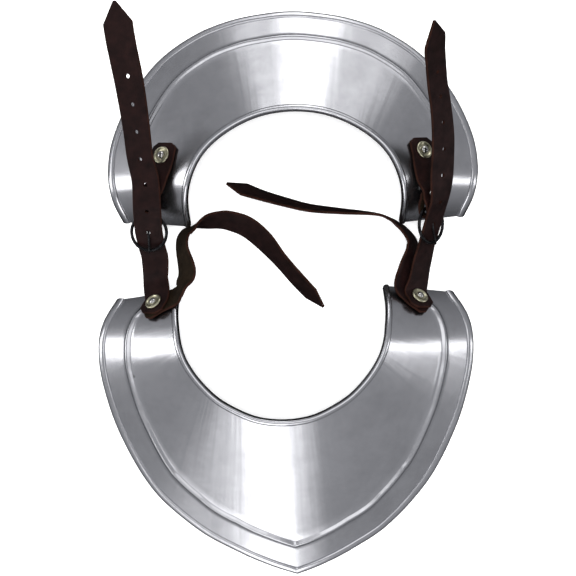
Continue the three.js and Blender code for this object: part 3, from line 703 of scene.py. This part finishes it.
def short_strap_stations(side):
    """From the end folded under, round the ring and up to the rivet."""
    forward, across, up = aimed(*side["fold_aim"])
    turn_radius = FOLD_GAP + LEATHER / 2
    turn_middle = -2.7
    layer = (LEATHER + GAP) / 2
    # The upper layer from the turn to where it meets the lower one, which mirrors it.
    upper = [(turn_middle, turn_radius), (3, turn_radius - 0.1), (9, layer + 0.6), (FOLD_LENGTH, layer)]
    in_fold = [(distance, -lift) for distance, lift in reversed(upper)]
    for angle in (225, 180, 135):
        turn = math.radians(angle)
        in_fold.append((turn_middle + turn_radius * math.cos(turn), turn_radius * math.sin(turn)))
    in_fold += upper
    wire = far_wire(side)
    folded = [(along(wire, (forward, distance), (up, lift)), across) for distance, lift in in_fold]
    return (folded + stations_from(side["short_run"])
            + across_rivet(side["back_seat"], side["back_heading"], BACK_LAYER, (-5, 3, 11)))


def tie_strap_stations(side):
    return (across_rivet(side["seat"], side["tie_heading"], TIE_LAYER, (-12, -4, 4))
            + stations_from(side["tie"]))


def strap_section(half):
    """A strap's cross-section: crowned faces and rounded edges, as (across, lift), and which side each
    stretch shows: 0 for the upper face, 1 for the lower one and 2 for a cut edge."""
    top = LEATHER / 2
    ease = min(0.7, half / 2)
    upper = [(share * (half - ease), top - CROWN * share**2) for share in np.linspace(-1, 1, 9)]
    edge = [(half - 0.25, top - 0.45), (half, 0.35), (half, -0.35), (half - 0.25, 0.45 - top)]
    half_loop = upper + edge
    points = half_loop + [(-x, -lift) for x, lift in half_loop]
    cut = [2] * (len(edge) + 1)
    sides = [0] * (len(upper) - 1) + cut + [1] * (len(upper) - 1) + cut
    return points, sides


def strap_frames(stations, tip, fold_width):
    """Centre, tangent, side and half width at each section of a strap, from its cut start to its end."""
    centres = [station[0] for station in stations]
    sides = [station[1] for station in stations]
    count = (len(stations) - 1) * STRAP_STEPS
    frames = []
    for i in range(count + 1):
        share = i / count
        ahead, behind = min(1, share + 1e-4), max(0, share - 1e-4)
        tangent = unit(spline(centres, ahead) - spline(centres, behind))
        side = spline(sides, share)
        side = unit(side - tangent * np.dot(side, tangent))
        width = fold_width + (STRAP_WIDTH - fold_width) * smooth_share(share, *FOLD_END)
        frames.append([spline(centres, share), tangent, side, width / 2])
    # The corners of a plain end are cut off over the first half of the way between two stations.
    cut_steps = STRAP_STEPS // 2
    for i in range(cut_steps):
        kept = START_SHARE + (1 - START_SHARE) * i / cut_steps
        frames[i][3] *= kept
        if tip == 0:
            frames[-1 - i][3] *= kept
    if tip > 0:
        centre, tangent, side, half = frames[-1]
        for share in np.linspace(0, 1, 9)[1:]:
            narrowed = half + (TIP_HALF - half) * share
            frames.append([along(centre, (tangent, tip * share)), tangent, side, narrowed])
    return frames


def hole_centres(stations, prong_hole):
    """Buckle holes at an even pitch from the prong's hole to the free end: centres and normals."""
    centres = [station[0] for station in stations]
    sides = [station[1] for station in stations]
    samples = 600
    line = [spline(centres, i / samples) for i in range(samples + 1)]
    nearest = min(range(samples + 1), key=lambda i: np.linalg.norm(line[i] - prong_hole))
    holes = []
    travelled = 0
    for i in range(nearest + 1, samples):
        travelled += np.linalg.norm(line[i] - line[i - 1])
        if travelled >= HOLE_PITCH * (len(holes) + 1) and len(holes) < HOLE_COUNT:
            tangent = unit(line[i + 1] - line[i - 1])
            holes.append((line[i], unit(np.cross(spline(sides, i / samples), tangent))))
    return holes


def upright(direction):
    """Two directions square to one."""
    helper = vector(0, 0, 1) if abs(direction[2]) < 0.9 else vector(1, 0, 0)
    first = unit(np.cross(helper, direction))
    return first, np.cross(direction, first)


def punch_holes(piece, cutters):
    """Cut holes through a piece with cutters given as (points, faces). The cut faces show the raw edge."""
    for points, faces in cutters:
        mesh = new_mesh("punch", points, faces, [CUT_EDGE])
        face_outwards(mesh)
        punch = add_object("punch", mesh)
        cut = piece.modifiers.new("hole", "BOOLEAN")
        cut.operation = "DIFFERENCE"
        cut.object = punch
        cut.solver = "EXACT"
        cut.material_mode = "TRANSFER"
        bpy.context.view_layer.update()
        result = bpy.data.meshes.new_from_object(piece.evaluated_get(bpy.context.evaluated_depsgraph_get()))
        piece.modifiers.clear()
        piece.data = result
        bpy.data.objects.remove(punch)
    piece.data.set_sharp_from_angle(angle=math.radians(35))


def round_punch(centre, direction, radius):
    """A cutter for a round hole."""
    first, second = upright(direction)
    sides = 20
    points = []
    for end in (-PUNCH_LENGTH / 2, PUNCH_LENGTH / 2):
        for j in range(sides):
            angle = 2 * math.pi * j / sides
            outwards = first * math.cos(angle) + second * math.sin(angle)
            points.append(along(centre, (direction, end), (outwards, radius)))
    return points, ring_faces(2, sides)


def slot_punch(centre, directions, sizes):
    """A cutter for a square slot, from its width, length and depth."""
    forward, side, up = directions
    width, length, depth = sizes
    points = []
    for end in (-0.5, 0.5):
        for x, z in ((-0.5, -0.5), (0.5, -0.5), (0.5, 0.5), (-0.5, 0.5)):
            points.append(along(centre, (side, x * width), (forward, end * length), (up, z * depth)))
    return points, ring_faces(2, 4)


def build_strap(name, stations, node, tip=TIP_LENGTH, fold_width=STRAP_WIDTH, flesh_up=False):
    points = []
    frames = strap_frames(stations, tip, fold_width)
    for centre, tangent, side, half in frames:
        up = np.cross(side, tangent)
        section, sides = strap_section(half)
        points += [along(centre, (side, x), (up, lift)) for x, lift in section]
    faces = ring_faces(len(frames), len(section))
    face_sides = sides * (len(frames) - 1) + [2, 2]
    faced = [FLESH_SIDE, GRAIN_SIDE] if flesh_up else [GRAIN_SIDE, FLESH_SIDE]
    return add_piece(name, points, faces, faced + [CUT_EDGE], node, face_materials=face_sides)


# --- Fittings ---

def tube(path, radii, sides, closed=False):
    """A round wire along a path of points, with a radius at each."""
    points = []
    normal = upright(unit(path[1] - path[0]))[0]
    count = len(path)
    for i, centre in enumerate(path):
        before = path[i - 1] if closed or i > 0 else path[0]
        after = path[(i + 1) % count] if closed or i < count - 1 else path[-1]
        tangent = unit(after - before)
        normal = unit(normal - tangent * np.dot(normal, tangent))
        second = np.cross(tangent, normal)
        for j in range(sides):
            angle = 2 * math.pi * j / sides
            points.append(along(
                centre, (normal, radii[i] * math.cos(angle)), (second, radii[i] * math.sin(angle))))
    return points, ring_faces(count, sides, closed)


def build_ring(name, side, node):
    forward, across, _ = aimed(*side["ring_aim"])
    turns = np.linspace(0, 2 * math.pi, 96, endpoint=False)
    path = [along(side["ring"], (across, RING_RADIUS * math.cos(a)), (forward, RING_RADIUS * math.sin(a)))
            for a in turns]
    points, faces = tube(path, [WIRE_RADIUS] * len(path), sides=20, closed=True)
    add_piece(name, points, faces, [BUCKLE_WIRE], node)


def build_prong(name, side, node):
    """The tongue, from its eye round the ring's far side to its tip on the near side."""
    forward, _, up = aimed(*side["ring_aim"])
    eye = WIRE_RADIUS + GAP + PRONG_RADIUS
    route = []
    for angle in range(200, 451, 25):
        turn = math.radians(angle)
        route.append(along(
            side["ring"], (forward, RING_RADIUS + eye * math.cos(turn)), (up, eye * math.sin(turn))))
    straight = ((10.5, 2.5), (5, 1.9), (0, 1.5), (-6, 1.7), (-11, 2.4), (-15, 2.95), (-17, 3))
    for distance, lift in straight:
        route.append(along(side["ring"], (forward, distance), (up, lift)))
    path = [spline(route, i / PRONG_SECTIONS) for i in range(PRONG_SECTIONS + 1)]
    tip_share = 0.55
    radii = [PRONG_RADIUS * min(1, tip_share + (1 - tip_share) * (PRONG_SECTIONS - i) / PRONG_TAPER)
             for i in range(PRONG_SECTIONS + 1)]
    points, faces = tube(path, radii, sides=14)
    add_piece(name, points, faces, [BUCKLE_WIRE], node, crease=50)


def build_turned(name, seat, profile, material, node, closed=False):
    """A round piece turned about the seat's normal, from its (radius, height) profile. A closed profile
    leaves a hole in the middle."""
    point, normal = seat
    first, second = upright(normal)
    points = []
    for j in range(TURNED_SIDES):
        angle = 2 * math.pi * j / TURNED_SIDES
        outwards = first * math.cos(angle) + second * math.sin(angle)
        points += [along(point, (outwards, radius), (normal, height)) for radius, height in profile]
    count = len(profile)
    faces = []
    for j in range(TURNED_SIDES):
        for k in range(count if closed else count - 1):
            a, b = j * count + k, j * count + (k + 1) % count
            c, d = (j + 1) % TURNED_SIDES * count + (k + 1) % count, (j + 1) % TURNED_SIDES * count + k
            faces.append((a, b, c, d))
    if not closed:
        faces.append(tuple(j * count for j in range(TURNED_SIDES)))
        faces.append(tuple(j * count + count - 1 for j in reversed(range(TURNED_SIDES))))
    add_piece(name, points, faces, [material], node)


def domed_head(seat_height, radius):
    """A round rivet head's profile, from its rim to just short of the axis."""
    return [(radius * math.cos(a), seat_height + 0.77 * radius * math.sin(a))
            for a in np.linspace(0, math.radians(86), 12)]


def build_rivet(name, seat, tail, head_seat, shank, radius, node):
    peened = [(share * radius, tail - drop * radius) for share, drop in ((0.3, 0.35), (0.8, 0.3), (0.95, 0))]
    profile = peened + [(shank, tail), (shank, head_seat)] + domed_head(head_seat, radius)
    build_turned(name, seat, profile, RIVET_STEEL, node)


def build_washer(name, seat, base, node):
    """A cupped washer, with a round raised rim and a sunk seat for the rivet's head."""
    bore = SHANK_RADIUS + GAP
    rim = [(WASHER_RADIUS - 1.1 + 1.1 * math.cos(a), base + 0.7 + 1.0 * math.sin(a))
           for a in np.linspace(-0.6, 2.6, 12)]
    profile = [(bore, base), (WASHER_RADIUS - 0.5, base)] + rim + [
        (HEAD_RADIUS + 1.6, base + 1.05), (HEAD_RADIUS + 0.9, base + WASHER_SEAT), (bore, base + WASHER_SEAT)]
    build_turned(name, seat, profile, WASHER_BRASS, node, closed=True)


# --- The object ---

def seat_of(form, place):
    """The point and normal where a rivet sits, given its place in a plate's own frame."""
    point, normal = form.locate(*place)
    return form.to_world(point), form.turned(normal)


def build_long_strap(name, side):
    stations = long_strap_stations(side)
    strap = build_strap(f"{name}_long_leather", stations, f"{name}_long_strap")
    forward, _, up = aimed(*side["ring_aim"])
    punches = [round_punch(centre, normal, HOLE_RADIUS)
               for centre, normal in hole_centres(stations, vector(*side["ring"]))]
    prong_hole = along(side["ring"], (forward, side["crossing"] + 3))
    punches.append(round_punch(prong_hole, up, PRONG_HOLE_RADIUS))
    punch_holes(strap, punches)


def build_short_strap(name, side):
    strap = build_strap(
        f"{name}_short_leather", short_strap_stations(side), f"{name}_short_strap",
        tip=0, fold_width=FOLD_WIDTH)
    directions = aimed(*side["ring_aim"])
    slot_place = along(far_wire(side), (directions[0], -1.5))
    punch_holes(strap, [slot_punch(slot_place, directions, PRONG_SLOT)])


def build_fold_rivet(name, side):
    forward, across, up = aimed(*side["fold_aim"])
    place = along(far_wire(side), (forward, FOLD_RIVET_PLACE), (across, side["fold_rivet_offset"]))
    half = LEATHER + GAP / 2 + 1.3  # the layers rise a little towards the ring under the head
    build_rivet(
        f"{name}_small_rivet", (place, up), 0.7 - half, half, FOLD_SHANK_RADIUS, FOLD_HEAD_RADIUS,
        f"{name}_fold_rivet")


def build_fastening(name, seat, layer):
    """A washer on a strap that lies at a height above the plate, and the rivet through all of them."""
    washer_base = layer + LEATHER / 2 + GAP
    build_washer(f"{name}_cupped_washer", seat, washer_base, f"{name}_washer")
    head_seat = washer_base + WASHER_SEAT + GAP
    build_rivet(
        f"{name}_domed_rivet", seat, -SHEET - GAP, head_seat, SHANK_RADIUS, HEAD_RADIUS, f"{name}_rivet")


front = PlateForm(FRONT)
back = PlateForm(BACK)
build_plate("front_sheet", front, "front_plate")
build_plate("back_sheet", back, "back_plate")

for name, side in SIDES.items():
    side["seat"] = seat_of(front, FRONT_RIVETS[name])
    side["back_seat"] = seat_of(back, BACK_RIVETS[name])
    build_long_strap(name, side)
    build_short_strap(name, side)
    # The left tie strap lies with its flesh side up where it leaves the rivet.
    build_strap(
        f"{name}_tie_leather", tie_strap_stations(side), f"{name}_tie_strap", flesh_up=name == "left")
    build_ring(f"{name}_buckle_ring", side, f"{name}_ring")
    build_prong(f"{name}_buckle_tongue", side, f"{name}_prong")
    build_fold_rivet(name, side)
    build_fastening(f"front_{name}", side["seat"], LONG_LAYER)
    build_fastening(f"back_{name}", side["back_seat"], BACK_LAYER)


# --- Studio ---

def build_floor():
    """A sheet of paper under the object. The steel doesn't mirror it, so its edges stay dark."""
    corners = [(-FLOOR_HALF, -FLOOR_HALF), (FLOOR_HALF, -FLOOR_HALF), (FLOOR_HALF, FLOOR_HALF),
               (-FLOOR_HALF, FLOOR_HALF)]
    floor_height = cad_box[0][2]
    mesh = bpy.data.meshes.new("floor")
    mesh.from_pydata([(x, y, floor_height) for x, y in corners], [], [(0, 1, 2, 3)])
    mesh.materials.append(matt_paper())
    floor = add_object("floor", mesh)
    floor.visible_glossy = False


def add_softbox(name, azimuth, elevation, width, height, radiance, mirrored_in_metal=True):
    """A soft panel that faces the object from PANEL_DISTANCE. Azimuth 0 is towards +X and 90 towards +Y."""
    turn, rise = math.radians(azimuth), math.radians(elevation)
    place = Vector((math.cos(turn) * math.cos(rise), math.sin(turn) * math.cos(rise), math.sin(rise)))
    light = bpy.data.lights.new(name, "AREA")
    light.shape = "RECTANGLE"
    light.size = width
    light.size_y = height
    light.energy = radiance * math.pi * width * height
    panel = add_object(name, light)
    panel.location = place * PANEL_DISTANCE
    panel.rotation_euler = place.to_track_quat("Z", "Y").to_euler()
    panel.visible_camera = False
    panel.visible_glossy = mirrored_in_metal


def surroundings():
    """A dim room: dark at the feet of the table, grey at the walls and lighter overhead."""
    world = bpy.data.worlds.new("dim studio")
    world.use_nodes = True
    tree = world.node_tree
    tree.nodes.clear()
    place = add_node(tree, "ShaderNodeTexCoord")
    height = add_node(tree, "ShaderNodeSeparateXYZ", links={"Vector": place.outputs["Generated"]})
    share = add_node(
        tree, "ShaderNodeMapRange", {"From Min": -1, "From Max": 1}, {"Value": height.outputs["Z"]})
    shade = add_node(
        tree, "ShaderNodeValToRGB", {"stops": [(0.22, "#0e0e0f"), (0.42, "#848588"), (0.8, "#a8a9ac")]},
        {"Fac": share.outputs["Result"]})
    sky = add_node(tree, "ShaderNodeBackground", links={"Color": shade.outputs["Color"]})
    add_node(tree, "ShaderNodeOutputWorld", links={"Surface": sky.outputs["Background"]})
    bpy.context.scene.world = world


def place_camera():
    """Straight above the drawing's origin, looking down."""
    data = bpy.data.cameras.new("camera")
    data.angle = 2 * math.atan(VIEW_HALF / CAMERA_HEIGHT)
    data.clip_start = 0.01
    camera = add_object("camera", data)
    camera.location = ORIGIN + Vector((0, 0, CAMERA_HEIGHT))
    bpy.context.scene.camera = camera


build_floor()
surroundings()
add_softbox("overhead", 90, 90, 1.6, 1.6, 8, mirrored_in_metal=False)
add_softbox("top panel", 90, 88, 1.2, 1.2, 1.2)
# Beside the front and back panels stand dimmer ones, which make the reflections fade unevenly.
add_softbox("front panel", 260, 32, 0.8, 1.5, 2.6)
add_softbox("front right fill", 278, 32, 0.5, 1.5, 0.6)
add_softbox("front left fill", 242, 32, 0.5, 1.5, 0.5)
add_softbox("back panel", 85.7, 18, 0.62, 1.3, 2.6)
add_softbox("back left fill", 101, 18, 0.3, 1.3, 1.1)
add_softbox("back right fill", 68, 18, 0.5, 1.3, 0.8)
add_softbox("left panel", 181, 20, 0.9, 1.3, 2.6)
add_softbox("left rear panel", 160, 30, 0.6, 0.5, 2.6)
add_softbox("right panel", 353.5, 20, 0.38, 1.2, 2.6)
add_softbox("right rear panel", 341, 25, 0.5, 0.3, 1.3)
place_camera()
bpy.context.scene.view_settings.view_transform = "Standard"
